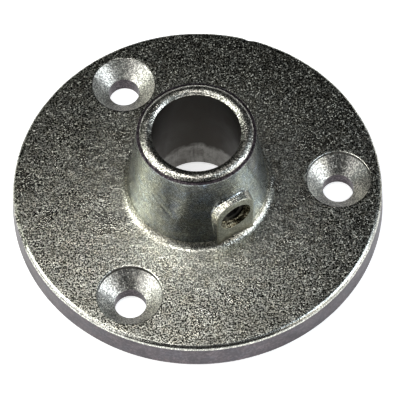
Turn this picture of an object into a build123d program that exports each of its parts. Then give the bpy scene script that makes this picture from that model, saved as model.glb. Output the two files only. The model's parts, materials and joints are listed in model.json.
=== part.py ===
"""Tube clamp base flange: one iron casting and the grub screw that grips the tube.

Units are millimetres. The origin is the centre of the flange's underside and
+Z runs up the bore. One fixing hole lies on +X, and the screw boss stands
midway between that hole and the next one clockwise.
"""
from build123d import *
import os
from math import cos, radians, sin, tan

# ------------------------------------------------------------- flange disc
flange_diameter = 95.0
flange_thickness = 8.0
flange_draft = 3.6  # degrees, the side wall leans in towards the top
flange_top_rounding = 1.3
flange_bottom_chamfer = 0.5

# ------------------------------------------------------------ fixing holes
hole_count = 3
hole_diameter = 8.0
hole_edge_distance = 11.5  # from a hole's axis to the flange's outer edge
countersink_diameter = 16.4
countersink_depth = 3.9
countersink_chamfer = 0.3  # the cast edge where the cone meets the top face

# --------------------------------------------------------------- tube bore
tube_diameter = 21.3
tube_clearance = 0.45  # radial, so that the tube drops in freely
bore_foot_chamfer = 0.8

# --------------------------------------------------------------------- hub
hub_height = 33.3  # from the underside to the crest of the lip
hub_draft = 7.4  # degrees
lip_radius = 2.1  # the rounded lip round the mouth
lip_inner_sweep = 45.0  # degrees of arc from the crest down to the bore
lip_outer_sweep = 53.5  # degrees of arc from the crest down to the shoulder
shoulder_width = 0.65  # from the foot of the lip to the hub's wall
shoulder_chamfer = 0.3
foot_fillet = 2.0  # where the hub grows out of the flange

# -------------------------------------------------------------- screw boss
boss_side_wall = 1.3  # metal left on each side of the tapped hole
boss_top_wall = 2.3  # metal left over the tapped hole
boss_stand_out = 2.05  # how far the face stands out of the hub at its top
boss_corner_radius = 4.3
boss_draft = 9.0  # degrees, the boss spreads towards the hub
boss_edge_chamfer = 0.4
boss_root_fillet = 0.5

# ------------------------------------------------- grub screw and its hole
thread_diameter = 8.0
thread_clearance = 0.05  # radial
tapping_height = 17.8  # of the screw's axis above the underside
tapping_chamfer = 0.35
screw_length = 5.0
screw_end_chamfer = 0.6
socket_width = 4.0  # across the flats of the hexagon
socket_point_angle = 120.0  # degrees, the drilled cone under the hexagon
socket_floor = 0.75  # solid metal left between the socket and the cup
cup_diameter = 4.6  # the hollow tip whose rim bites into the tube
cup_depth = 0.9
tip_setback = 0.15  # backed off, the tip waits this far behind the bore's wall

# --------------------------------------------------------- derived lengths
flange_radius = flange_diameter / 2
flange_top_radius = flange_radius - flange_thickness * tan(radians(flange_draft))
bolt_circle_radius = flange_radius - hole_edge_distance
bore_radius = tube_diameter / 2 + tube_clearance

lip_centre_height = hub_height - lip_radius
lip_crest_radius = bore_radius + lip_radius * sin(radians(lip_inner_sweep))
lip_inner_height = lip_centre_height + lip_radius * cos(radians(lip_inner_sweep))
lip_foot_radius = lip_crest_radius + lip_radius * sin(radians(lip_outer_sweep))
shoulder_height = lip_centre_height + lip_radius * cos(radians(lip_outer_sweep))
shoulder_radius = lip_foot_radius + shoulder_width


def hub_radius_at(height):
    """Radius of the hub's tapered wall at a height above the underside."""
    return shoulder_radius + (shoulder_height - height) * tan(radians(hub_draft))


# The boss's face is flat and upright; its root lies half-way into the hub's wall.
boss_width = thread_diameter + 2 * boss_side_wall
boss_height = tapping_height + thread_diameter / 2 + boss_top_wall
boss_face_distance = hub_radius_at(boss_height) + boss_stand_out
boss_root_distance = (bore_radius + hub_radius_at(boss_height)) / 2
boss_depth = boss_face_distance - boss_root_distance
boss_spread = boss_depth * tan(radians(boss_draft))

screw_radius = thread_diameter / 2 - thread_clearance
tip_distance = bore_radius + tip_setback
socket_point_depth = socket_width / 2 / tan(radians(socket_point_angle / 2))
socket_depth = screw_length - cup_depth - socket_floor - socket_point_depth

# The boss looks midway between the hole on +X and the next one clockwise.
boss_angle = radians(-180 / hole_count)
outward = Vector(cos(boss_angle), sin(boss_angle), 0)
sideways = Vector(-sin(boss_angle), cos(boss_angle), 0)
screw_axis_foot = Vector(0, 0, tapping_height)
screw_axis = Axis(screw_axis_foot, outward)
boss_plane = Plane(origin=outward * boss_face_distance, x_dir=sideways, z_dir=outward)
tapping_plane = Plane(
    origin=screw_axis_foot + outward * boss_face_distance, x_dir=sideways, z_dir=outward
)

# ---------------------------------------- one fixing hole, as a cutting tool
with BuildPart() as fixing_hole:
    cutter_top = flange_thickness + countersink_depth
    cutter_radius = countersink_diameter / 2 + 2 * countersink_chamfer
    cone_rim = (countersink_diameter / 2, flange_thickness)
    with BuildSketch(Plane.XZ) as hole_section:
        with BuildLine():
            Polyline(
                (0, 0),
                (hole_diameter / 2, 0),
                (hole_diameter / 2, flange_thickness - countersink_depth),
                cone_rim,
                (cutter_radius, flange_thickness),
                (cutter_radius, cutter_top),
                (0, cutter_top),
                close=True,
            )
        make_face()
        chamfer(hole_section.vertices().sort_by_distance(cone_rim)[0], countersink_chamfer)
    revolve(axis=Axis.Z)

# ------------------------------------------------------------------ casting
with BuildPart() as casting:
    # Disc, tapered hub, lip and bore are one turned form.
    with BuildSketch(Plane.XZ) as section:
        with BuildLine():
            outer_wall = Polyline(
                (bore_radius, 0),
                (flange_radius, 0),
                (flange_top_radius, flange_thickness),
                (hub_radius_at(flange_thickness), flange_thickness),
                (shoulder_radius, shoulder_height),
                (lip_foot_radius, shoulder_height),
            )
            lip = ThreePointArc(
                outer_wall @ 1, (lip_crest_radius, hub_height), (bore_radius, lip_inner_height)
            )
            Line(lip @ 1, outer_wall @ 0)
        make_face()
        for corner, length in (
            ((bore_radius, 0), bore_foot_chamfer),
            ((flange_radius, 0), flange_bottom_chamfer),
            ((shoulder_radius, shoulder_height), shoulder_chamfer),
        ):
            chamfer(section.vertices().sort_by_distance(corner)[0], length)
        for corner, radius in (
            ((flange_top_radius, flange_thickness), flange_top_rounding),
            ((hub_radius_at(flange_thickness), flange_thickness), foot_fillet),
        ):
            fillet(section.vertices().sort_by_distance(corner)[0], radius)
    revolve(axis=Axis.Z)

    # The screw boss is lofted from its face back to a wider outline in the hub.
    for inset, spread in ((0, 0), (boss_depth, boss_spread)):
        with BuildSketch(boss_plane.offset(-inset)) as boss_outline:
            with Locations((0, flange_thickness / 2)):
                Rectangle(
                    boss_width + 2 * spread,
                    boss_height + spread - flange_thickness / 2,
                    align=(Align.CENTER, Align.MIN),
                )
            top_corners = boss_outline.vertices().group_by(Axis.Y)[-1]
            fillet(top_corners, boss_corner_radius + spread)
    loft()

    # Break the outline of the face, all but its foot, then round the root on the hub.
    boss_face = casting.faces().filter_by(screw_axis).sort_by(screw_axis)[-1]
    chamfer(boss_face.edges().sort_by(Axis.Z)[1:], boss_edge_chamfer)

    def is_boss_root(edge):
        """Tell an edge between the boss and the hub's wall from the wall's other edges."""
        middle = edge.center()
        above_foot = middle.Z > flange_thickness + 2 * foot_fillet
        return above_foot and middle.dot(outward) > bore_radius

    # The highest cone is the shoulder's chamfer, and the next one is the hub's wall.
    hub_wall = casting.faces().filter_by(GeomType.CONE).sort_by(Axis.Z)[-2]
    fillet(hub_wall.edges().filter_by(is_boss_root), boss_root_fillet)

    # The tapped hole runs from the boss's face into the bore.
    with BuildSketch(tapping_plane):
        Circle(thread_diameter / 2)
    extrude(amount=-boss_face_distance, mode=Mode.SUBTRACT)
    mouth = casting.edges().filter_by(GeomType.CIRCLE).sort_by_distance(tapping_plane.origin)
    chamfer(mouth.filter_by(lambda edge: edge.is_closed)[0], tapping_chamfer)

    with PolarLocations(bolt_circle_radius, hole_count):
        add(fixing_hole.part, mode=Mode.SUBTRACT)

# --------------------------------------------------------------- grub screw
with BuildPart() as grub_screw:
    # Local Y of this plane runs along the screw, from its tip outwards.
    turning_plane = Plane(
        origin=screw_axis_foot + outward * tip_distance,
        x_dir=sideways,
        z_dir=sideways.cross(outward),
    )
    with BuildSketch(turning_plane):
        with BuildLine():
            Polyline(
                (0, cup_depth),
                (cup_diameter / 2, 0),
                (screw_radius - screw_end_chamfer, 0),
                (screw_radius, screw_end_chamfer),
                (screw_radius, screw_length - screw_end_chamfer),
                (screw_radius - screw_end_chamfer, screw_length),
                (0, screw_length),
                close=True,
            )
        make_face()
    revolve(axis=screw_axis)

    # Hexagon socket, with the drilled cone that is left at its bottom.
    socket_mouth = Plane(
        origin=screw_axis_foot + outward * (tip_distance + screw_length),
        x_dir=sideways,
        z_dir=outward,
    )
    with BuildSketch(socket_mouth):
        RegularPolygon(radius=socket_width / 2, side_count=6, major_radius=False)
    extrude(amount=-socket_depth, mode=Mode.SUBTRACT)
    with BuildSketch(turning_plane):
        with BuildLine():
            socket_bottom = screw_length - socket_depth
            Polyline(
                (0, socket_bottom - socket_point_depth),
                (socket_width / 2, socket_bottom),
                (0, socket_bottom),
                close=True,
            )
        make_face()
    revolve(axis=screw_axis, mode=Mode.SUBTRACT)

# ------------------------------------------------------------------- export
casting.part.label = "casting"
grub_screw.part.label = "grub_screw"

os.makedirs("parts", exist_ok=True)
export_step(casting.part, "parts/casting.step")
export_step(grub_screw.part, "parts/grub_screw.step")
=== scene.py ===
# %% [markdown]
# # A tube clamp base flange
#
# A round iron casting stands on three countersunk screws. A tube drops into its hub, and a grub
# screw in the small boss grips the tube. We dress the two solids of the frame: the casting gets
# its true cast skin, and the screw gets its thread.

# %% Load the frame
import json
import math

import bpy
import numpy as np
from mathutils import Matrix, Vector, noise


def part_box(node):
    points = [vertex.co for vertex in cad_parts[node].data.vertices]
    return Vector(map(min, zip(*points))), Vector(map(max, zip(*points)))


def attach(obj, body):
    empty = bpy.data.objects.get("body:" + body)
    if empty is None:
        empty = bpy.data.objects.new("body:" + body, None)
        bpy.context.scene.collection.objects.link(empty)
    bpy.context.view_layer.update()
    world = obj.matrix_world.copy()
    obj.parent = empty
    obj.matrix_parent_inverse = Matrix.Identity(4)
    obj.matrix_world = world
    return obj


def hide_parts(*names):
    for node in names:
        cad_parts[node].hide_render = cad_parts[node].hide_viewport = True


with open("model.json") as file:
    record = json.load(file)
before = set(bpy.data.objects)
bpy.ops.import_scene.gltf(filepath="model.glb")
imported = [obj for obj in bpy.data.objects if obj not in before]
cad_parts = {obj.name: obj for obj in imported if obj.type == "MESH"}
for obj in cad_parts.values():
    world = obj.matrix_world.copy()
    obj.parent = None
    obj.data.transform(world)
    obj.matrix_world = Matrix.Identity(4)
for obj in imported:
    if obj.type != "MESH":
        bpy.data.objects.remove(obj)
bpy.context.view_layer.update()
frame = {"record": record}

# %% [markdown]
# ## Measures
#
# The radii and heights that the frame knows come from its boxes and mounts. The small forms,
# such as the lip and the drafts, are named here in millimetres and turned into metres once.

# %% Measures of the casting
MM = 0.001

_, casting_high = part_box("casting")
screw_low, screw_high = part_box("grub_screw")
record = frame["record"]
mounts = {mount["name"]: mount for mount in record["mounts"]}

flange_radius = casting_high.x
hub_height = casting_high.z
bore_radius = mounts["bore"]["dims"]["r_mm"] * MM
bolt_circle_radius = mounts["fixing_holes"]["dims"]["pcd_mm"] * MM / 2
hole_radius = mounts["fixing_holes"]["dims"]["hole_r_mm"] * MM
hole_count = mounts["fixing_holes"]["dims"]["count"]

flange_thickness = 8.0 * MM
flange_draft = math.radians(3.6)
flange_top_rounding = 1.3 * MM
bottom_chamfer = 0.5 * MM
bore_foot_chamfer = 0.8 * MM
foot_fillet = 2.0 * MM
hub_draft = math.radians(7.4)
lip_radius = 2.1 * MM
lip_inner_sweep = math.radians(45)
lip_outer_sweep = math.radians(53.5)
shoulder_width = 0.65 * MM
shoulder_rounding = 0.25 * MM
countersink_radius = 8.2 * MM
countersink_rim = 0.3 * MM

lip_centre_height = hub_height - lip_radius
lip_crest_radius = bore_radius + lip_radius * math.sin(lip_inner_sweep)
lip_foot_radius = lip_crest_radius + lip_radius * math.sin(lip_outer_sweep)
shoulder_height = lip_centre_height + lip_radius * math.cos(lip_outer_sweep)
shoulder_radius = lip_foot_radius + shoulder_width


def hub_radius_at(height):
    """Radius of the hub's tapered wall at a height above the underside."""
    return shoulder_radius + (shoulder_height - height) * math.tan(hub_draft)


flange_top_radius = flange_radius - flange_thickness * math.tan(flange_draft)
hub_foot_radius = hub_radius_at(flange_thickness)
print(f"radii: flange {flange_radius / MM:.1f} mm, bore {bore_radius / MM:.2f} mm")

# %% [markdown]
# ## Where the screw sits
#
# The screw's axis is the one on which its joint slides, so its direction is read from the
# joint and its place from the screw's own box. The boss follows from both: it is as wide and as
# high as the tapped hole needs. Deriving them keeps hole, boss and screw together.

# %% Measures of the boss and the screw
travel = next(joint for joint in record["behaviour"]["joints"] if joint["name"] == "screw_travel")
outward = -Vector(travel["axis"]).normalized()
sideways = Vector((0, 0, 1)).cross(outward)
screw_centre = (screw_low + screw_high) / 2
tapping_height = screw_centre.z
thread_pitch = 1.25 * MM
thread_radius = 4.0 * MM
thread_clearance = 0.05 * MM
screw_length = 5.0 * MM
tip_distance = bore_radius + 0.15 * MM

boss_half_width = thread_radius + 1.3 * MM
boss_height = tapping_height + thread_radius + 2.3 * MM
boss_face_distance = hub_radius_at(boss_height) + 2.05 * MM
boss_corner_radius = 4.3 * MM
boss_draft = math.radians(9)
boss_edge_rounding = 0.3 * MM
boss_root_rounding = 0.4 * MM
print(f"boss face {boss_face_distance / MM:.2f} mm out, {boss_height / MM:.1f} mm high")

# %% [markdown]
# ## Helpers for closed solids
#
# Every form here starts as rings of points. A ring grid turns into quads in one sweep, and flat
# caps make it a closed solid, which a Boolean can then cut or join without guessing.

# %% Make meshes and join them


def link(thing):
    """Put an object into the scene."""
    bpy.context.scene.collection.objects.link(thing)
    return thing


def grid_faces(rows, columns):
    """Quads of a grid that closes on itself both ways."""
    row, column = np.meshgrid(np.arange(rows), np.arange(columns), indexing="ij")
    next_row = (row + 1) % rows
    next_column = (column + 1) % columns
    corners = (
        row * columns + column,
        row * columns + next_column,
        next_row * columns + next_column,
        next_row * columns + column,
    )
    return np.stack(corners, -1).reshape(-1, 4)


def mesh_object(name, points, faces):
    """A mesh object from arrays of points and faces."""
    mesh = bpy.data.meshes.new(name)
    mesh.from_pydata(points.reshape(-1, 3).tolist(), [], faces.tolist())
    mesh.validate()
    return link(bpy.data.objects.new(name, mesh))


def closed_tube(name, rings):
    """A closed solid from rings of points, with a flat cap at each end."""
    stations, steps = rings.shape[:2]
    faces = [list(face) for face in grid_faces(stations, steps)[: (stations - 1) * steps]]
    faces.append(list(range(steps))[::-1])
    faces.append(list(range((stations - 1) * steps, stations * steps)))
    mesh = bpy.data.meshes.new(name)
    mesh.from_pydata(rings.reshape(-1, 3).tolist(), [], faces)
    return link(bpy.data.objects.new(name, mesh))


def combine(target, tool, operation):
    """Add the tool's shape to the target or take it out, and throw the tool away."""
    modifier = target.modifiers.new(operation.lower(), "BOOLEAN")
    modifier.operation = operation
    modifier.object = tool
    modifier.solver = "MANIFOLD"
    bpy.context.view_layer.objects.active = target
    bpy.ops.object.modifier_apply(modifier=modifier.name)
    bpy.data.objects.remove(tool)


print("a closed grid of 3 by 4 points has", len(grid_faces(3, 4)), "faces")

# %% [markdown]
# ## The camera and the studio
#
# The camera looks down on the flange through a long lens, so the circles stay near true
# ellipses. Around it stands a plain studio: a pale floor, a dim room and a few soft lamps.

# %% Set the camera
camera_elevation = math.radians(59.34)
camera_azimuth = math.radians(-91.4)
camera_distance = 674.7 * MM
camera_target = Vector((0.6, 0.1, 0.0)) * MM
camera_roll = -0.0177
camera_lens = 236.3


def place_camera(azimuth, elevation, distance, target, roll, lens):
    """A camera on a sphere round the target, turned about its own line of sight by roll."""
    away = Vector(
        (
            math.cos(elevation) * math.cos(azimuth),
            math.cos(elevation) * math.sin(azimuth),
            math.sin(elevation),
        )
    )
    right = Vector((0, 0, 1)).cross(away).normalized()
    up = away.cross(right)
    turned_right = right * math.cos(roll) + up * math.sin(roll)
    turned_up = up * math.cos(roll) - right * math.sin(roll)
    axes = Matrix((turned_right, turned_up, away)).transposed().to_4x4()
    data = bpy.data.cameras.new("camera")
    data.lens = lens
    data.sensor_width = 36
    data.clip_start = 0.05
    data.clip_end = 20
    camera = link(bpy.data.objects.new("camera", data))
    camera.matrix_world = Matrix.Translation(target + away * distance) @ axes
    bpy.context.scene.camera = camera
    return camera


place_camera(
    camera_azimuth, camera_elevation, camera_distance, camera_target, camera_roll, camera_lens
)
bpy.context.scene.view_settings.view_transform = "Standard"
print("camera elevation", round(math.degrees(camera_elevation), 1), "degrees")

# %% [markdown]
# ## A short way to write materials
#
# A finish is a tree of small nodes: noise, stretched to a range, mixed into a colour. Made by
# hand, each node takes four lines. The class below makes and links them in one call each.

# %% Build materials with few words


class Recipe:
    """A material whose nodes are made by name and joined by short calls."""

    def __init__(self, name):
        self.material = bpy.data.materials.new(name)
        self.material.use_nodes = True
        self.tree = self.material.node_tree
        self.surface = self.tree.nodes["Principled BSDF"]

    def node(self, kind, settings=None, **inputs):
        """A node of that kind, with settings as properties and inputs set or linked by name."""
        made = self.tree.nodes.new(kind)
        for key, value in (settings or {}).items():
            setattr(made, key, value)
        for key, value in inputs.items():
            self.feed(made.inputs[key.replace("_", " ")], value)
        return made

    def feed(self, socket, value):
        """Give a socket a number, a colour or another node's output."""
        if isinstance(value, bpy.types.NodeSocket):
            self.tree.links.new(value, socket)
        else:
            socket.default_value = value

    def maths(self, operation, *values):
        """A maths node's result."""
        made = self.node("ShaderNodeMath", {"operation": operation})
        for socket, value in zip(made.inputs, values):
            self.feed(socket, value)
        return made.outputs[0]

    def mix(self, share, first, second):
        """Two colours mixed by a share."""
        made = self.node("ShaderNodeMix", {"data_type": "RGBA"})
        self.feed(made.inputs["Factor"], share)
        self.feed(made.inputs["A"], first)
        self.feed(made.inputs["B"], second)
        return made.outputs["Result"]

    def spread(self, value, low, high, to_low=0.0, to_high=1.0):
        """A value stretched from one range to another and held inside it."""
        made = self.node(
            "ShaderNodeMapRange",
            {"clamp": True},
            Value=value,
            From_Min=low,
            From_Max=high,
            To_Min=to_low,
            To_Max=to_high,
        )
        return made.outputs["Result"]

    def noise(self, size, detail=3.0, roughness=0.55, distortion=0.0, place=None):
        """Noise whose lumps are about size across, in metres, from 0 to 1."""
        made = self.node(
            "ShaderNodeTexNoise",
            Scale=1 / size,
            Detail=detail,
            Roughness=roughness,
            Distortion=distortion,
        )
        self.feed(made.inputs["Vector"], place or self.place())
        return made.outputs["Fac"]

    def place(self):
        """Where a point is on the object."""
        return self.node("ShaderNodeTexCoord").outputs["Object"]

    def bump(self, height, relief):
        """Let a height rise by relief, in metres, in the way the surface takes light."""
        made = self.node("ShaderNodeBump", Strength=1.0, Distance=relief, Height=height)
        self.feed(self.surface.inputs["Normal"], made.outputs["Normal"])

    def axis_distance(self):
        """How far a point is from the upright axis through the object."""
        flat = self.node("ShaderNodeVectorMath", {"operation": "MULTIPLY"})
        self.feed(flat.inputs[0], self.place())
        self.feed(flat.inputs[1], (1, 1, 0))
        length = self.node("ShaderNodeVectorMath", {"operation": "LENGTH"})
        self.feed(length.inputs[0], flat.outputs["Vector"])
        return length.outputs["Value"]


print("a recipe can:", [word for word in vars(Recipe) if not word.startswith("_")])

# %% [markdown]
# ## Floor and lamps
#
# Metal shows what stands round it, so the lamps decide its look. Two tall lamps at the sides
# shade the hub, two lower ones in front light the countersunk cones, and a small one overhead
# lays a pool of light on the flange. The floor shows white by itself and keeps the shadow.

# %% Lay the floor and light the room
floor_half = 3.0
floor_glow = 0.7


def build_floor():
    """A pale floor that stays white to the eye and in reflections, and keeps the shadow."""
    corners = np.array([(x, y, 0.0) for x, y in ((-1, -1), (1, -1), (1, 1), (-1, 1))]) * floor_half
    corners[:, 2] = -0.02 * MM
    floor = mesh_object("floor", corners, np.array([[0, 1, 2, 3]]))
    recipe = Recipe("pale_floor")
    paper = recipe.noise(4 * MM, 2.0)
    surface = recipe.surface.inputs
    recipe.feed(surface["Base Color"], recipe.mix(paper, (0.88, 0.88, 0.88, 1), (0.92, 0.92, 0.92, 1)))
    recipe.feed(surface["Roughness"], 0.9)
    recipe.feed(surface["Specular IOR Level"], 0.1)
    path = recipe.node("ShaderNodeLightPath")
    seen = recipe.maths("MAXIMUM", path.outputs["Is Camera Ray"], path.outputs["Is Glossy Ray"])
    seen = recipe.maths("MAXIMUM", seen, path.outputs["Is Transmission Ray"])
    recipe.feed(surface["Emission Color"], (1, 1, 1, 1))
    recipe.feed(surface["Emission Strength"], recipe.maths("MULTIPLY", seen, floor_glow))
    floor.data.materials.append(recipe.material)
    return floor


def build_room(strength, colour):
    """The room's own dim light from all sides."""
    world = bpy.data.worlds.new("room")
    world.use_nodes = True
    background = world.node_tree.nodes["Background"]
    background.inputs["Color"].default_value = colour
    background.inputs["Strength"].default_value = strength
    bpy.context.scene.world = world


def build_lamp(name, azimuth, elevation, distance, size, power, colour, aim, spread=180):
    """A soft square lamp, at a distance from the point that it looks at; angles in degrees."""
    data = bpy.data.lights.new(name, "AREA")
    data.shape = "RECTANGLE"
    data.size, data.size_y = size
    data.energy = power
    data.color = colour
    data.spread = math.radians(spread)
    azimuth, elevation = math.radians(azimuth), math.radians(elevation)
    away = Vector(
        (
            math.cos(elevation) * math.cos(azimuth),
            math.cos(elevation) * math.sin(azimuth),
            math.sin(elevation),
        )
    )
    lamp = link(bpy.data.objects.new(name, data))
    lamp.location = Vector(aim) * MM + away * distance
    lamp.rotation_euler = away.to_track_quat("Z", "Y").to_euler()
    return lamp


build_floor()
build_room(0.012, (1.0, 1.0, 1.0, 1))
hub_middle = (0, 0, 16)
build_lamp("key_lamp", 165, 80, 0.18, (0.08, 0.08), 0.048, (1.0, 1.0, 1.0), (-4, -5, 8), spread=130)
build_lamp("left_lamp", 176, 40, 0.5, (0.2, 0.45), 1.4, (0.95, 1.0, 0.93), hub_middle)
build_lamp("right_lamp", -6, 40, 0.5, (0.2, 0.45), 1.25, (0.77, 0.88, 1.0), hub_middle)
build_lamp("near_left_lamp", -155, 30, 0.45, (0.34, 0.34), 0.75, (1.0, 1.0, 1.0), hub_middle)
build_lamp("near_right_lamp", -18, 26, 0.45, (0.36, 0.3), 0.5, (1.0, 0.97, 0.9), hub_middle)
print("lamps:", len(bpy.data.lights))

# %% [markdown]
# ## Finishes
#
# Zinc over cast iron is a metal, so nearly all that we see in it is reflection. The sand of the
# mould leaves a coarse grain on the flange, which scatters the lamps into light and dark specks.
# Drilled and pressed faces are smoother. One recipe makes them all, and takes how strong the
# grain is and what tint the zinc has.

# %% The grain of the zinc
pit_range = (0.76, 0.94)


def grain(recipe, size, relief):
    """Lay grains of a size over the surface as bumps; returns where the pits between them are."""
    grains = recipe.noise(size, 1.0, 0.5)
    fine = recipe.noise(size * 0.45, 1.0, 0.5)
    swell = recipe.noise(size * 4, 2.0, 0.5)
    height = recipe.maths("MULTIPLY_ADD", fine, 0.35, grains)
    recipe.bump(recipe.maths("MULTIPLY_ADD", swell, 1.2, height), relief)
    return recipe.spread(recipe.maths("MULTIPLY_ADD", fine, 0.6, grains), *pit_range, 1.0, 0.0)


print("pits lie where the summed noise is under", pit_range)

# %% [markdown]
# ## Sparkle, painted light and painted shade on the rough skin
#
# The cast skin glitters even where no lamp is mirrored, because a few grains stand at odd
# angles. Real facets would need far more faces than the part is worth. A rough bright fleck
# throws light to all sides instead, so it shines from the dark metal round it in any light.
# The skin has painted light beside the hub, where fewer pits are left, and painted shade towards the
# rim.

# %% Sparkle, painted light and painted shade
# Painted light beside the hub and painted shade towards the rim reach between these radii.
painted_light_radius = 20 * MM
plain_radius = 34 * MM
painted_shade_radius = 46 * MM
fleck_size = 0.3 * MM
fleck_range = (0.65, 0.75)


def fewer_pits(recipe, pits, sparkle_and_painted_light):
    """Close some of the pits beside the hub, as painted light."""
    # Painted light: fewer pits beside the hub.
    kept = recipe.spread(recipe.axis_distance(), painted_light_radius, plain_radius, 1 - 0.3 * sparkle_and_painted_light, 1.0)
    return recipe.maths("MULTIPLY", pits, kept)


def add_painted_shade_and_flecks(recipe, tone, bright, pit, sparkle_and_painted_light):
    """Darken the skin towards the rim as painted shade and set flecks in it; returns the tone and the
    flecks.
    """
    distance = recipe.axis_distance()
    # Painted shade: the skin darkens towards the rim.
    painted_shade = recipe.spread(distance, plain_radius, painted_shade_radius, 0.0, 0.35 * sparkle_and_painted_light)
    tone = recipe.mix(painted_shade, tone, pit)
    fleck = recipe.spread(recipe.noise(fleck_size, 0.0), *fleck_range, 0.0, sparkle_and_painted_light)
    return recipe.mix(fleck, tone, bright), fleck


print(f"flecks {fleck_size / MM:.1f} mm; darkest {painted_shade_radius / MM:.0f} mm from the axis")

# %% [markdown]
# ## One recipe for every zinc
#
# All the finishes share one recipe: a bright coat with stained patches, dark pits between its
# grains, and dull clouds that are also a little rougher. Only numbers and tints tell a drilled
# cone from a sand-cast face, so each finish is one call.

# %% A zinc finish
cloud_size = 7 * MM
patch_size = 3 * MM


def zinc(name, size, relief, bright, stain, pit, pit_share, roughness, sparkle_and_painted_light=0.0):
    """A finish from its grain in millimetres, its three tints, how pitted and rough it is, and how
    strong its flecks and its painted light and shade are.
    """
    recipe = Recipe(name)
    pits = grain(recipe, size * MM, relief * MM)
    clouds = recipe.noise(cloud_size, 4.0, 0.6, 0.4)
    patches = recipe.noise(patch_size, 3.0, 0.6, 0.6)
    rough = recipe.spread(clouds, 0.3, 0.7, roughness, roughness + 0.1)
    # With sparkle the skin also gets painted light beside the hub and painted shade towards the rim.
    if sparkle_and_painted_light:
        pits = fewer_pits(recipe, pits, sparkle_and_painted_light)
    tone = recipe.mix(recipe.spread(patches, 0.4, 0.65), (*bright, 1), (*stain, 1))
    tone = recipe.mix(recipe.maths("MULTIPLY", pits, pit_share), tone, (*pit, 1))
    tone = recipe.mix(recipe.spread(clouds, 0.45, 0.7, 0.0, 0.45), tone, (*pit, 1))
    if sparkle_and_painted_light:
        tone, fleck = add_painted_shade_and_flecks(recipe, tone, (*bright, 1), (*pit, 1), sparkle_and_painted_light)
        rough = recipe.maths("MULTIPLY_ADD", fleck, 0.3, rough)
    recipe.feed(recipe.surface.inputs["Base Color"], tone)
    recipe.feed(recipe.surface.inputs["Metallic"], 1.0)
    recipe.feed(recipe.surface.inputs["Roughness"], rough)
    return recipe.material


print(f"dull clouds of {cloud_size / MM:.0f} mm and stained patches of {patch_size / MM:.0f} mm")

# %% [markdown]
# ## The coat in the bore
#
# The coat is dark, and painted near black above as painted shade. Its lower part is a paler grey as
# painted light from above, with a cloudy edge, and runs have left faint streaks. Streaks are plain noise
# on a squeezed height.

# %% The coat in the bore, with painted light and shade
# The painted light on the lower bore reaches up to this height, over a cloudy edge.
painted_light_height = 8 * MM
painted_light_edge = 2 * MM
edge_waver = 5 * MM


def bore_coat():
    """A dark dull coat, painted near black above as painted shade and paler near the foot as painted
    light, with streaks and specks.
    """
    recipe = Recipe("bore_zinc")
    apart = recipe.node("ShaderNodeSeparateXYZ", Vector=recipe.place())
    squeezed = recipe.node("ShaderNodeMapping", Vector=recipe.place(), Scale=(1, 1, 0.12))
    streaks = recipe.noise(0.9 * MM, 2.0, place=squeezed.outputs["Vector"])
    clouds = recipe.noise(4 * MM, 4.0, 0.65, 0.5)
    fine = recipe.noise(0.4 * MM, 2.0, 0.6)
    # Painted light near the foot and painted shade above it, split at a wavering height.
    height = recipe.maths("MULTIPLY_ADD", clouds, edge_waver, apart.outputs["Z"])
    height = recipe.maths("SUBTRACT", height, edge_waver / 2)
    pale = recipe.spread(height, painted_light_height, painted_light_height + painted_light_edge, 1.0, 0.0)
    tone = recipe.mix(pale, (0.018, 0.015, 0.01, 1), (0.19, 0.185, 0.17, 1))
    tone = recipe.mix(recipe.spread(clouds, 0.4, 0.65, 0.0, 0.5), tone, (0.04, 0.03, 0.024, 1))
    tone = recipe.mix(recipe.spread(streaks, 0.55, 0.68, 0.0, 0.45), tone, (0.02, 0.016, 0.014, 1))
    tone = recipe.mix(recipe.spread(fine, 0.5, 0.7, 0.0, 0.4), tone, (0.02, 0.018, 0.016, 1))
    recipe.bump(fine, 0.02 * MM)
    recipe.feed(recipe.surface.inputs["Base Color"], tone)
    recipe.feed(recipe.surface.inputs["Metallic"], 1.0)
    recipe.feed(recipe.surface.inputs["Roughness"], recipe.spread(clouds, 0.3, 0.7, 0.42, 0.55))
    return recipe.material


print(f"the bore is pale up to about {painted_light_height / MM:.0f} mm")

# %% [markdown]
# ## The finishes of the casting
#
# A casting shows where each tool has been. The flange keeps the sand's coarse grain, the hub is
# smoother, the lip is bright, the rim is worn and on its front arc painted lighter as painted light,
# and drilled faces have their own tints.

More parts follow.
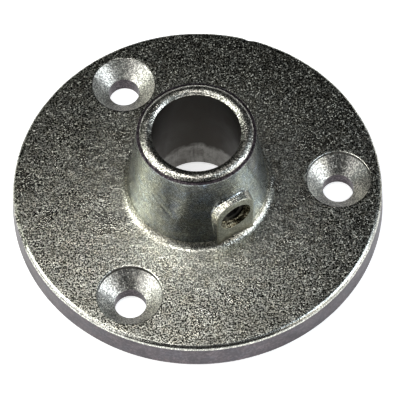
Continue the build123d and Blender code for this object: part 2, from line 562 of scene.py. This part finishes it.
# %% Mix the finishes
BLACK_PIT = (0.02, 0.02, 0.015)
WHITE_ZINC = (1.0, 0.985, 0.88)
casting_finishes = [
    # The numbers are grain size and relief; after the tints, share of pits, roughness, and sparkle with
    # painted light and shade.
    zinc("cast_zinc", 0.42, 0.07, WHITE_ZINC, (0.95, 0.9, 0.75), BLACK_PIT, 1.0, 0.24, 0.85),
    zinc(
        "smooth_zinc", 0.42, 0.02,
        (0.5, 0.52, 0.46), (0.36, 0.42, 0.48), (0.15, 0.15, 0.14),
        0.75, 0.2,
    ),
    # Dark mauve zinc: the tint of the underside and of the holes' walls, and painted shade on the ledge
    # under the lip.
    zinc(
        "edge_and_shade_zinc", 0.55, 0.02,
        (0.15, 0.125, 0.135), (0.11, 0.09, 0.1), (0.03, 0.025, 0.03),
        0.9, 0.34,
    ),
    zinc(
        "cone_zinc", 0.4, 0.06,
        (1.0, 0.975, 0.91), (0.88, 0.85, 0.77), (0.1, 0.1, 0.095),
        0.8, 0.32, 1.0,
    ),
    zinc(
        "thread_zinc", 0.4, 0.06,
        (0.6, 0.57, 0.42), (0.4, 0.37, 0.22), (0.03, 0.02, 0.01),
        1.0, 0.2,
    ),
    bore_coat(),
    zinc("lip_zinc", 0.38, 0.07, WHITE_ZINC, (0.95, 0.9, 0.8), BLACK_PIT, 0.85, 0.24),
    zinc(
        "face_zinc", 0.4, 0.03,
        (0.55, 0.54, 0.45), (0.45, 0.44, 0.36), (0.15, 0.15, 0.12),
        0.7, 0.34,
    ),
    zinc("rim_zinc", 0.35, 0.03, WHITE_ZINC, (0.95, 0.93, 0.86), (0.2, 0.2, 0.18), 0.8, 0.2),
    zinc(
        "side_zinc", 0.7, 0.01,
        (0.15, 0.125, 0.135), (0.12, 0.11, 0.125), (0.06, 0.055, 0.06),
        0.6, 0.38,
    ),
]
CAST, SMOOTH, EDGE_AND_SHADE, CONE, THREAD, BORE, LIP, FACE, RIM, SIDE = range(len(casting_finishes))
print("finishes:", [finish.name for finish in casting_finishes])

# %% [markdown]
# ## The turned section
#
# Everything but the boss and the holes is a turned form. Its section is walked once round,
# from the bore's foot out along the underside, up the rim, in over the flange, up the hub, over
# the lip and down the bore. Corners are rounded by arcs, and each stretch gets its own spacing.

# %% The section of the casting


def straight(start, end, spacing):
    """Points from start up to, but not with, end."""
    start, end = np.array(start), np.array(end)
    count = max(1, round(float(np.linalg.norm(end - start)) / spacing))
    return [start + (end - start) * step / count for step in range(count)]


def arc(centre, radius, first, last, count):
    """Points on an arc from angle first to angle last, in radians, without its last point."""
    turns = [first + (last - first) * step / count for step in range(count)]
    return [np.array(centre) + radius * np.array((math.cos(a), math.sin(a))) for a in turns]


def rounded(before, corner, after, radius, count):
    """An arc of the given radius that rounds a corner; returns its start, its end and its points."""
    corner = np.array(corner)
    back = np.array(before) - corner
    ahead = np.array(after) - corner
    back /= np.linalg.norm(back)
    ahead /= np.linalg.norm(ahead)
    half = math.acos(float(back @ ahead)) / 2
    setback = radius / math.tan(half)
    middle = back + ahead
    centre = corner + middle / np.linalg.norm(middle) * radius / math.sin(half)
    start = corner + back * setback
    end = corner + ahead * setback
    first = math.atan2(*(start - centre)[::-1])
    turn = math.remainder(math.atan2(*(end - centre)[::-1]) - first, 2 * math.pi)
    return start, end, arc(centre, radius, first, first + turn, count)


foot_corner = (hub_foot_radius, flange_thickness)
rim_corner = (flange_top_radius, flange_thickness)
shoulder_corner = (shoulder_radius, shoulder_height)
lip_foot = (lip_foot_radius, shoulder_height)
outer_foot = (flange_radius, bottom_chamfer)
rim_start, rim_end, rim_arc = rounded(outer_foot, rim_corner, foot_corner, flange_top_rounding, 7)
foot_start, foot_end, foot_arc = rounded(rim_corner, foot_corner, shoulder_corner, foot_fillet, 9)
top_start, top_end, top_arc = rounded(foot_corner, shoulder_corner, lip_foot, shoulder_rounding, 5)
lip_centre = (lip_crest_radius, lip_centre_height)
lip_arc = arc(lip_centre, lip_radius, math.pi / 2 - lip_outer_sweep, math.pi / 2 + lip_inner_sweep, 16)
lip_inner = (bore_radius, lip_centre_height + lip_radius * math.cos(lip_inner_sweep))
chamfer_out = (bore_radius + bore_foot_chamfer, 0)
chamfer_up = (bore_radius, bore_foot_chamfer)

section = (
    straight(chamfer_out, (flange_radius - bottom_chamfer, 0), 1.7 * MM)
    + straight((flange_radius - bottom_chamfer, 0), outer_foot, 0.4 * MM)
    + straight(outer_foot, rim_start, 0.7 * MM)
    + rim_arc
    + straight(rim_end, foot_start, 0.62 * MM)
    + foot_arc
    + straight(foot_end, top_start, 0.42 * MM)
    + top_arc
    + straight(top_end, lip_foot, 0.25 * MM)
    + lip_arc
    + straight(lip_inner, chamfer_up, 1.1 * MM)
    + straight(chamfer_up, chamfer_out, 0.6 * MM)
)
section = np.array(section)
print("points round the section:", len(section))

# %% [markdown]
# ## Turning the section
#
# A lathe turns a section into a solid. Here each point of the section is repeated round the
# upright axis, as a grid of rows and columns. The grid is kept as an array for now, because
# the next steps still move its points.

# %% Turn the section
columns = 400
angles = np.linspace(0, 2 * math.pi, columns, endpoint=False)
skin = np.empty((len(section), columns, 3))
skin[:, :, 0] = section[:, 0, None] * np.cos(angles)
skin[:, :, 1] = section[:, 0, None] * np.sin(angles)
skin[:, :, 2] = section[:, 1, None]
print("grid:", len(section), "rows by", columns, "columns")

# %% [markdown]
# ## The boss as a field
#
# On the real casting the boss grows out of the hub with soft roots. Modelling that with cut
# faces is fiddly. A distance field says it in a few lines: the field is below zero inside the
# metal, and a soft minimum of two fields gives the rounded root where they meet.

# %% Distance to the hub with its boss


def soft_min(a, b, reach):
    """The smaller of two fields, blended where they are closer than reach."""
    blend = np.clip(0.5 + 0.5 * (b - a) / reach, 0, 1)
    return b + (a - b) * blend - reach * blend * (1 - blend)


def soft_max(a, b, reach):
    """The larger of two fields, blended where they are closer than reach."""
    return -soft_min(-a, -b, reach)


def hub_field(points):
    """Distance to the hub's wall and to the fillet at its foot."""
    radius = np.hypot(points[..., 0], points[..., 1])
    wall = (radius - hub_radius_at(points[..., 2])) * math.cos(hub_draft)
    flange = points[..., 2] - flange_thickness
    centre_radius = foot_start[0]
    centre_height = foot_start[1] + foot_fillet
    from_centre = np.hypot(radius - centre_radius, points[..., 2] - centre_height)
    in_corner = (radius < centre_radius) & (points[..., 2] < centre_height)
    return np.where(in_corner, foot_fillet - from_centre, np.minimum(wall, flange))


def boss_field(points):
    """Distance to the drafted boss: a rounded outline that spreads towards the hub."""
    out = points @ np.array(outward)
    side = np.abs(points @ np.array(sideways))
    spread = (boss_face_distance - out) * math.tan(boss_draft)
    corner = boss_corner_radius + spread
    beside = side - (boss_half_width + spread) + corner
    above = points[..., 2] - (boss_height + spread) + corner
    outline = np.hypot(np.maximum(beside, 0), np.maximum(above, 0)) - corner
    outline = outline + np.minimum(np.maximum(beside, above), 0)
    return soft_max(outline * math.cos(boss_draft), out - boss_face_distance, boss_edge_rounding)


def metal_field(points):
    """Distance to the hub and the boss together."""
    return soft_min(hub_field(points), boss_field(points), boss_root_rounding)


face_middle = np.array(outward) * boss_face_distance + np.array((0, 0, tapping_height))
print(f"field in the middle of the boss's face: {metal_field(face_middle) / MM:.3f} mm")

# %% [markdown]
# ## Settling points onto the metal
#
# A field also says which way the surface is: down its slope. A few small steps along the slope
# bring any near point onto the blended metal, which is how the boss gets its soft root.

# %% Move points onto the metal


def field_slope(points, step=0.01 * MM):
    """Direction in which the field rises, by small steps along the three axes."""
    slope = np.empty_like(points)
    for axis in range(3):
        shift = np.zeros(3)
        shift[axis] = step
        slope[..., axis] = metal_field(points + shift) - metal_field(points - shift)
    return slope / (2 * step)


def settle(points, rounds=8):
    """Move points onto the surface of the metal, along the field's slope."""
    for _ in range(rounds):
        slope = field_slope(points)
        steepness = np.maximum((slope**2).sum(-1, keepdims=True), 0.3)
        points = points - metal_field(points)[..., None] * slope / steepness
    return points


probe = settle(face_middle[None] + np.array(outward) * 0.2 * MM)
print(f"a point 0.2 mm off the face settles to {abs(metal_field(probe)[0]) / MM:.4f} mm from it")

# %% [markdown]
# ## The cast skin
#
# Sand leaves the faces of a casting slightly wavy, the lip is a little lumpy, and there are a few
# creases on the hub where two flows of iron met. A bump map would not change the outline, so the
# points themselves are moved. They only sink, never rise, so that the part keeps its outer size.
# The machined bore and the underside stay true, and so does the place where the boss will join.

# %% Let the cast faces sink unevenly
crease_marks = (
    # Each mark runs between two places: degrees round the hub and millimetres up.
    ((-145.7, 24.4), (-140.2, 24.4)),
    ((-138.1, 21.3), (-130.9, 20.3)),
    ((-131.4, 23.2), (-117.5, 18.2)),
)
crease_depth = 0.18 * MM
crease_width = 0.25 * MM
nick_angle = math.radians(71)
nick_depth = 0.35 * MM
nick_width = 1.0 * MM


def sink_range(radius, height):
    """How far, at most, the skin sinks at a point of the section."""
    if height < bottom_chamfer * 0.9 or radius < bore_radius + 0.01 * MM:
        return 0.0
    if height < flange_thickness - flange_top_rounding:
        return 0.06 * MM if radius > bolt_circle_radius else 0.0
    return 0.16 * MM if height > shoulder_height - shoulder_rounding else 0.12 * MM


def lumps(points, size, seed):
    """Smooth noise from 0 to 1 at the points, with lumps about size across."""
    shift = Vector((seed, 0, 0))
    values = [noise.noise(Vector(point) / size + shift) for point in points.reshape(-1, 3)]
    return np.clip(0.5 + 0.7 * np.array(values).reshape(points.shape[:-1]), 0, 1)


def mark_distance(points, start, end):
    """Distance along the hub's wall from the points to a mark."""
    radius = np.hypot(points[..., 0], points[..., 1])
    place = np.stack((np.arctan2(points[..., 1], points[..., 0]) * radius, points[..., 2]), -1)
    middle_radius = hub_radius_at((start[1] + end[1]) / 2 * MM)
    first = np.array((math.radians(start[0]) * middle_radius, start[1] * MM))
    along = np.array((math.radians(end[0]) * middle_radius, end[1] * MM)) - first
    share = np.clip((place - first) @ along / (along @ along), 0, 1)
    return np.linalg.norm(place - first - share[..., None] * along, axis=-1)


print(f"{len(crease_marks)} creases {crease_depth / MM:.2f} mm deep, nick {nick_depth / MM:.2f} mm")

# %% [markdown]
# ## Sinking the skin
#
# Each point moves inwards along the section's own normal, by lumps, marks and a nick in the rim.
# Beside the boss the movement fades out, so that the boss still meets the hub exactly.

# %% Sink the skin
section_slope = np.roll(section, -1, axis=0) - np.roll(section, 1, axis=0)
section_slope /= np.linalg.norm(section_slope, axis=1, keepdims=True)
normals = np.empty_like(skin)
normals[:, :, 0] = section_slope[:, 1, None] * np.cos(angles)
normals[:, :, 1] = section_slope[:, 1, None] * np.sin(angles)
normals[:, :, 2] = -section_slope[:, 0, None]

reach = np.array([sink_range(*place) for place in section])[:, None]
sink = 0.2 + 0.45 * lumps(skin, 4.5 * MM, 3) + 0.35 * lumps(skin, 1.6 * MM, 11)
beside_boss = np.clip((boss_field(skin) - 0.3 * MM) / (1.5 * MM), 0, 1)
beside_boss = np.where(skin @ np.array(outward) > bore_radius * 0.7, beside_boss, 1)
sink = sink * reach * beside_boss
for start, end in crease_marks:
    crease = np.exp(-((mark_distance(skin, start, end) / crease_width) ** 2))
    sink = sink + crease_depth * crease * (reach > 0)
beside_nick = np.remainder(angles - nick_angle + math.pi, 2 * math.pi) - math.pi
nick = np.exp(-((beside_nick * flange_radius / nick_width) ** 2))[None, :]
on_rim = (section[:, 0] > flange_top_radius - flange_top_rounding)[:, None] * (reach > 0)
sink = sink + nick_depth * nick * on_rim * (skin[..., 2] / flange_thickness) ** 3
skin -= normals * sink[..., None]
print(f"the skin sinks by up to {sink.max() / MM:.2f} mm, mean {sink[sink > 0].mean() / MM:.3f} mm")

# %% [markdown]
# ## Which finish goes where
#
# The section's rows know where they are: underside, side, rim, flange, hub, lip or bore. Each
# row gets its finish from its height and radius. Painting by hand would take longer, and would
# have to be done again after each change of the section.

# %% Make the skin and share the finishes out over it
# On this front arc the rim is worn and also painted lighter, as painted light.
lit_wear_from = math.radians(200)
lit_wear_to = math.radians(348)


def row_finish(radius, height):
    """Which finish a row of the section has."""
    if height < 0.01 * MM:
        return EDGE_AND_SHADE
    if height < flange_thickness - flange_top_rounding and radius > bolt_circle_radius:
        return SIDE
    if radius < bore_radius + 0.9 * MM and height < lip_inner[1]:
        return BORE
    if height > flange_thickness + foot_fillet * 0.7 and height < shoulder_height - shoulder_rounding:
        return SMOOTH
    if height > hub_height - 0.7 * MM:
        return LIP
    # The ledge under the lip and the lip's outer foot take the dark edge finish as painted shade.
    if height > shoulder_height - shoulder_rounding:
        return EDGE_AND_SHADE
    if height < flange_thickness and radius > flange_top_radius - 0.8 * flange_top_rounding:
        return RIM
    return CAST


def paint(thing, finishes):
    """Give a piece of the casting all the finishes, and each of its faces one of them by number."""
    for finish in casting_finishes:
        thing.data.materials.append(finish)
    numbers = np.empty(len(thing.data.polygons), np.int32)
    numbers[:] = finishes
    thing.data.polygons.foreach_set("material_index", numbers)


cast_skin = mesh_object("cast_skin", skin, grid_faces(*skin.shape[:2]))
row_middles = (section + np.roll(section, -1, axis=0)) / 2
row_finishes = [row_finish(*middle) for middle in row_middles]
skin_finishes = np.repeat(row_finishes, columns).reshape(-1, columns)
# The front arc of the rim keeps the brighter rim finish, wear with painted light; the rest of the rim
# takes the cast finish.
worn_and_lit_rim = (angles > lit_wear_from) & (angles < lit_wear_to)
skin_finishes[(skin_finishes == RIM) & ~worn_and_lit_rim] = CAST
paint(cast_skin, skin_finishes.ravel())
print("faces of the turned skin:", len(cast_skin.data.polygons))

# %% [markdown]
# ## The boss
#
# The boss is a stack of rounded outlines from its flat face back into the hub. Where the stack
# comes near the hub's wall its points settle onto the blended field, which bends them into the
# rounded root. The rest runs on into the metal and vanishes when the two are joined.

# %% Build the boss
boss_foot = flange_thickness / 2
boss_steps = 160
edge_rings = 4
ring_gap = 0.22 * MM
boss_reach = 4.4 * MM
blend_depth = 0.25 * MM


def boss_outline(inset, shrink):
    """Points of the boss's outline at an inset from the face, drawn in by shrink."""
    spread = inset * math.tan(boss_draft) - shrink
    half, top = boss_half_width + spread, boss_height + spread
    corner = boss_corner_radius + spread
    centre = half - corner
    turn = np.linspace(0, math.pi / 2, 24)
    right = np.stack((centre + corner * np.cos(turn), top - corner + corner * np.sin(turn)), -1)
    left = np.stack((-centre - corner * np.sin(turn), top - corner + corner * np.cos(turn)), -1)
    outline = np.concatenate(([(half, boss_foot)], right, left, [(-half, boss_foot)]))
    lengths = np.concatenate(([0], np.cumsum(np.linalg.norm(np.diff(outline, axis=0), axis=1))))
    even = np.linspace(0, lengths[-1], boss_steps)
    flat = np.stack([np.interp(even, lengths, outline[:, axis]) for axis in (0, 1)], -1)
    points = flat[:, :1] * np.array(sideways) + (boss_face_distance - inset) * np.array(outward)
    points[:, 2] = flat[:, 1]
    return points


def boss_stations():
    """Insets and shrinks of the outlines: the rounded edge first, then evenly inwards."""
    turn = np.linspace(0, math.pi / 2, edge_rings + 1)
    edge = boss_edge_rounding * np.stack((1 - np.sin(turn), 1 - np.cos(turn)), -1)[::-1]
    insets = np.arange(boss_edge_rounding + ring_gap, boss_reach, ring_gap)
    return [*edge, *((inset, 0.0) for inset in insets)]


rings = np.stack([boss_outline(inset, shrink) for inset, shrink in boss_stations()])
settled = settle(rings[1:])
near_wall = hub_field(rings[1:]) > -blend_depth
rings[1:] = np.where(near_wall[..., None], settled, rings[1:])
boss = closed_tube("boss", rings)
# The flanks take the bright cast finish above the screw's axis and the darker smooth finish below it;
# the darker lower flanks are painted shade.
upper_flank = (hub_field(rings[:-1]) > boss_root_rounding) & (rings[:-1, :, 2] > tapping_height)
boss_finishes = np.append(np.where(upper_flank, CAST, SMOOTH), (FACE, SMOOTH))
boss_finishes[: edge_rings * boss_steps] = FACE
paint(boss, boss_finishes)
combine(cast_skin, boss, "UNION")
print("faces with the boss:", len(cast_skin.data.polygons))

# %% [markdown]
# ## The fixing holes
#
# Each hole is drilled through and countersunk for a screw head. The drill has sunk deeper at
# some holes than at others and leaves a small step round the cone. The cutter is turned from
# its own outline and carries the finishes, which the cut passes on to the casting.

# %% Cut the fixing holes


def turned_cutter(name, outline, steps, finishes):
    """A closed solid turned round Z from an outline of radius and height, one finish a stretch."""
    outline = np.array(outline)
    turn = np.linspace(0, 2 * math.pi, steps, endpoint=False)
    ring = np.empty((len(outline), steps, 3))
    ring[:, :, 0] = outline[:, 0, None] * np.cos(turn)
    ring[:, :, 1] = outline[:, 0, None] * np.sin(turn)
    ring[:, :, 2] = outline[:, 1, None]
    cutter = closed_tube(name, ring)
    paint(cutter, np.concatenate((np.repeat(finishes, steps), (CAST, CAST))))
    return cutter


overshoot = 1.0 * MM  # cutters run past the faces by this
# How deep the drill went at each hole: the step round the cone, and the cone's lower end.
drill_depths = ((0.9 * MM, 4.6 * MM), (0.15 * MM, 3.8 * MM), (1.2 * MM, 4.7 * MM))


def hole_outline(step, depth):
    """Radius and height down a fixing hole: bore, cone, a step where the drill sank in, rim."""
    return [
        (hole_radius, -overshoot),
        (hole_radius, flange_thickness - depth),
        (countersink_radius - 0.1 * MM, flange_thickness - step),
        (countersink_radius, flange_thickness - countersink_rim * 0.5),
        (countersink_radius + countersink_rim, flange_thickness),
        (countersink_radius + countersink_rim * 3, flange_thickness + overshoot),
    ]


for index in range(hole_count):
    turn = 2 * math.pi * index / hole_count
    outline = hole_outline(*drill_depths[index])
    # The step wall round each cone takes the dark bore finish as painted shade.
    tool = turned_cutter("hole_tool", outline, 96, (EDGE_AND_SHADE, CONE, BORE, RIM, CAST))
    place = (bolt_circle_radius * math.cos(turn), bolt_circle_radius * math.sin(turn), 0)
    tool.data.transform(Matrix.Translation(place))
    combine(cast_skin, tool, "DIFFERENCE")
print("faces after the fixing holes:", len(cast_skin.data.polygons))

# %% [markdown]
# ## The thread
#
# A thread could be swept along a helix, but then its ends need closing by hand. Here a plain rod
# has its radius moved in and out: the reach at a place depends only on how far along the axis it
# lies and how far round. The same rule makes the tool that cuts the hole and the screw inside
# it, so the two mesh, and they still do when the screw moves by whole turns.

# %% A threaded rod
flank_slope = math.tan(math.radians(30))
thread_depth = 5 / 8 * thread_pitch * math.sqrt(3) / 2


def round_the_screw(along, turn, reach):
    """Points at a distance along the screw's axis, an angle round it and a reach from it."""
    points = (
        (reach * np.cos(turn))[..., None] * np.array(sideways)
        + (reach * np.sin(turn))[..., None] * np.array(outward.cross(sideways))
        + along[..., None] * np.array(outward)
    )
    points[..., 2] += tapping_height
    return points


def thread_reach(along, turn, crest):
    """Radius of a 60 degree thread at a distance along its axis and an angle round it."""
    phase = along / thread_pitch - turn / (2 * math.pi)
    from_crest = np.abs((phase + 0.5) % 1 - 0.5) * thread_pitch
    return np.clip(crest - (from_crest - thread_pitch / 16) / flank_slope, crest - thread_depth, crest)


def threaded_rod(name, first, last, crest, shape, rows_per_turn=14, columns=64):
    """A closed rod along the screw's axis; shape(along, reach) caps the radius or widens it."""
    rows = round((last - first) / thread_pitch * rows_per_turn) + 1
    along = np.linspace(first, last, rows)[:, None]
    turn = np.linspace(0, 2 * math.pi, columns, endpoint=False)[None, :]
    reach = shape(along, thread_reach(along, turn, crest))
    return closed_tube(name, round_the_screw(along + 0 * turn, turn, reach))


def widen_mouth(along, reach):
    """The tapped hole opens in a small cone at the boss's face."""
    return np.maximum(reach, thread_radius + mouth_chamfer - (boss_face_distance - along))


mouth_chamfer = 0.35 * MM
tap_start = 8.4 * MM
tap_end = boss_face_distance + 1.5 * MM
tool = threaded_rod("tap", tap_start, tap_end, thread_radius, widen_mouth)
paint(tool, THREAD)
combine(cast_skin, tool, "DIFFERENCE")
print("faces after tapping:", len(cast_skin.data.polygons))

# %% [markdown]
# ## The grub screw
#
# It is a short rod with a thread, a hexagon socket for a key at its outer end, and a cup at its
# inner end that bites into the tube. Rod and tools are closed solids, so three cuts finish it.

# %% Cut the grub screw
screw_first = tip_distance
screw_last = tip_distance + screw_length
screw_end_chamfer = 0.6 * MM
steel_tints = ((0.16, 0.15, 0.14), (0.13, 0.125, 0.12), (0.08, 0.075, 0.07))
steel = zinc("dull_steel", 0.5, 0.01, *steel_tints, 0.5, 0.36)
cup_radius = 2.3 * MM
cup_depth = 0.9 * MM
socket_half_width = 2.0 * MM
socket_depth = 2.2 * MM


def bevel_ends(along, reach):
    """The screw's ends are bevelled, so that it starts in the hole easily."""
    end_distance = np.minimum(along - screw_first, screw_last - along)
    return np.minimum(reach, thread_radius - thread_clearance - screw_end_chamfer + end_distance)


thread_crest = thread_radius - 1.5 * thread_clearance
grub = threaded_rod("grub_screw_threaded", screw_first, screw_last, thread_crest, bevel_ends)
grub.data.materials.append(steel)


def prism(name, steps, stations):
    """A closed tool along the screw's axis, from stations of distance along and corner radius."""
    turn = np.linspace(0, 2 * math.pi, steps, endpoint=False)[None, :]
    along, reach = (np.array(values)[:, None] for values in zip(*stations))
    tool = closed_tube(name, round_the_screw(along + 0 * turn, turn, reach))
    tool.data.materials.append(steel)
    return tool


corner_radius = socket_half_width / math.cos(math.pi / 6)
socket_floor = screw_last - socket_depth
point_length = socket_half_width / math.sqrt(3)
tip_radius = 0.02 * MM
overlap = 0.1 * MM
socket_stations = [(socket_floor, corner_radius), (screw_last + overshoot, corner_radius)]
drill_stations = [(socket_floor - point_length, tip_radius), (socket_floor + overlap, socket_half_width)]
cup_stations = [(screw_first - overlap, cup_radius), (screw_first, cup_radius)]
cup_stations.append((screw_first + cup_depth, tip_radius))
combine(grub, prism("socket", 6, socket_stations), "DIFFERENCE")
combine(grub, prism("drill", 32, drill_stations), "DIFFERENCE")
combine(grub, prism("cup", 48, cup_stations), "DIFFERENCE")
grub.data.polygons.foreach_set("use_smooth", np.ones(len(grub.data.polygons), bool))
grub.data.set_sharp_from_angle(angle=math.radians(28))
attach(grub, "screw")
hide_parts("grub_screw")
print("faces of the grub screw:", len(grub.data.polygons))

# %% [markdown]
# ## Smooth faces and true edges
#
# Faces that meet at a small angle are shaded as one, and the rest keep their edges. Then the skin is
# hung on the body that carries it, and the solid that it dresses is hidden.

# %% Finish
bpy.ops.object.select_all(action="DESELECT")
cast_skin.data.polygons.foreach_set("use_smooth", np.ones(len(cast_skin.data.polygons), bool))
cast_skin.data.set_sharp_from_angle(angle=math.radians(38))
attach(cast_skin, "flange")
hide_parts("casting")
